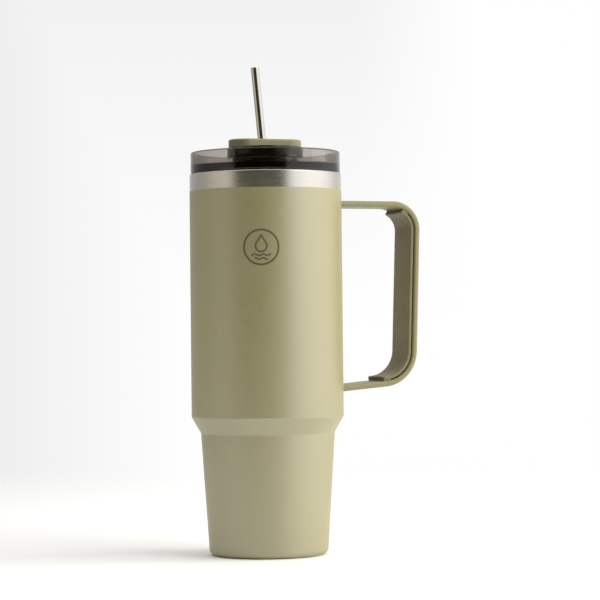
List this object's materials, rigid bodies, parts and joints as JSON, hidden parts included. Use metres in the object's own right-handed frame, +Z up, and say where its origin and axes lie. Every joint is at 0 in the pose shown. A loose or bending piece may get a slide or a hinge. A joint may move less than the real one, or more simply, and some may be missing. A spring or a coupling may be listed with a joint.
{
  "type": "insulated tumbler with lid",
  "caption": "Tall double-walled steel tumbler with a narrowed foot, loop handle, clear smoke lid with a rotating cover, and a steel straw.",
  "frame": {"origin": "centre of the foot on the body's axis, on the surface that the tumbler stands on", "axes": "+Z up along the body's axis, +X from the axis towards the handle, +Y to the left of the handle"},
  "size_m": [0.1531, 0.099, 0.3168],
  "materials": {
    "powder_coat": "sage green powder coat, satin, very fine orange peel",
    "steel": "circumferentially brushed stainless steel",
    "plain_steel": "plain pressed stainless steel",
    "getter_metal": "sintered getter metal",
    "seal_bead": "grey solder",
    "sage_plastic": "sage green moulded plastic, satin",
    "grip_rubber": "darker sage soft-touch rubber",
    "screw_steel": "plain steel",
    "smoke_plastic": "clear plastic with a warm smoke tint",
    "silicone": "translucent white silicone",
    "dark_rubber": "black O-ring rubber",
    "spring_steel": "spring steel",
    "straw_steel": "polished stainless tube"
  },
  "bodies": {
    "cup": {"powder_coat": "powder_coat", "outer_shell": "steel", "inner_liner": "steel", "base_plate": "plain_steel", "getter": "getter_metal", "vacuum_seal": "seal_bead", "base_cap": "sage_plastic", "upper_tongue": "plain_steel", "lower_tongue": "plain_steel", "handle_frame": "sage_plastic", "handle_grip": "grip_rubber", "handle_screws": "screw_steel"},
    "lid": {"lid_body": "smoke_plastic", "lid_gasket": "silicone", "hub_ring": "dark_rubber", "cover_retainer": "spring_steel"},
    "cover": {"cover_disc": "smoke_plastic", "cover_seal": "silicone", "cover_grip": "sage_plastic", "grip_screws": "screw_steel"},
    "straw": {"straw": "straw_steel"}
  },
  "joints": [
    {"name": "lid_lift", "type": "slide", "parent": "cup", "child": "lid", "axis": [0, 0, 1], "range_m": [0, 0.25]},
    {"name": "cover_turn", "type": "hinge", "parent": "lid", "child": "cover", "pos_m": [0, 0, 0.2607], "axis": [0, 0, 1], "range_deg": [0, 90]},
    {"name": "straw_slide", "type": "slide", "parent": "lid", "child": "straw", "axis": [-0.0924, 0, 0.9957], "range_m": [0, 0.265]}
  ]
}
